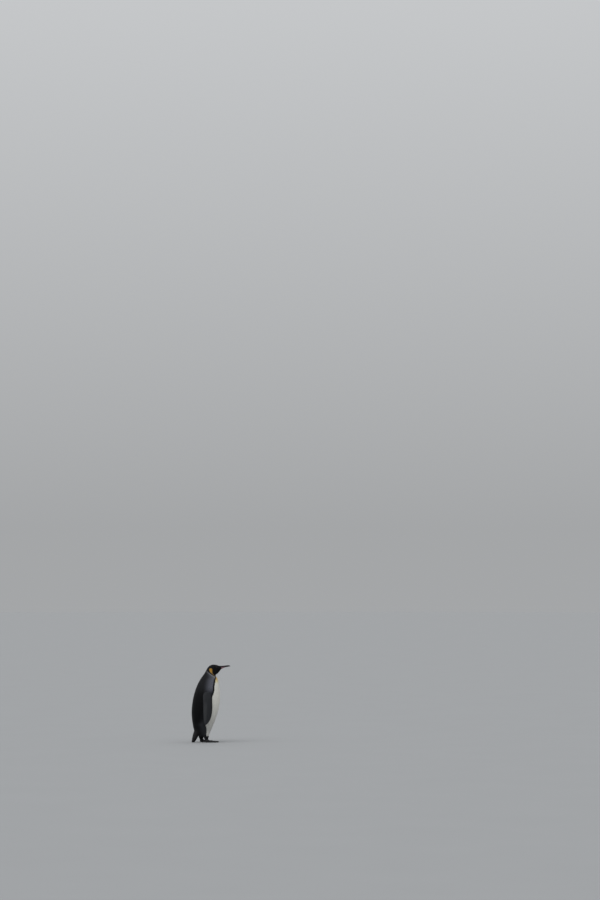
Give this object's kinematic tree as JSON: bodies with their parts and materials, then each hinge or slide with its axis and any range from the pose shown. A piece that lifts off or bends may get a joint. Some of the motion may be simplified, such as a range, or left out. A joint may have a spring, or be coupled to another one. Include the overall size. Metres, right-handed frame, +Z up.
{
  "type": "king penguin, life-size standing model",
  "caption": "Life-size still model of a standing king penguin, flippers at its sides, head turned slightly right, resting on webbed feet and tail tip.",
  "frame": {"origin": "on the floor plane, under the middle of the whole bird's bounding box", "axes": "+Z up, -Y the way the body faces, +X towards the bird's left side"},
  "size_m": [0.2852, 0.3918, 0.7687],
  "materials": {
    "feathers_slate": "short dense dark grey feathers, soft sheen",
    "feathers_grey": "short dense silver-grey feathers",
    "feathers_black": "short dense black feathers",
    "feathers_white": "short dense white feathers, orange at the throat and ear",
    "foot_skin": "scaly matte skin",
    "horn": "satin keratin",
    "bill_plate": "satin pink to purple plate",
    "eye": "wet gloss"
  },
  "bodies": {
    "root": {"bill_lower": "horn", "bill_plate_left": "bill_plate", "bill_plate_right": "bill_plate", "bill_upper": "horn", "claw_left_hind": "horn", "claw_left_inner": "horn", "claw_left_middle": "horn", "claw_left_outer": "horn", "claw_right_hind": "horn", "claw_right_inner": "horn", "claw_right_middle": "horn", "claw_right_outer": "horn", "eye_left": "eye", "eye_right": "eye", "flipper_left": "feathers_slate", "flipper_right": "feathers_slate", "foot_left": "foot_skin", "foot_right": "foot_skin", "head": "feathers_black", "leg_left": "feathers_black", "leg_right": "feathers_black", "neck": "feathers_grey", "tail": "feathers_black", "trunk": "feathers_slate"}
  },
  "joints": []
}
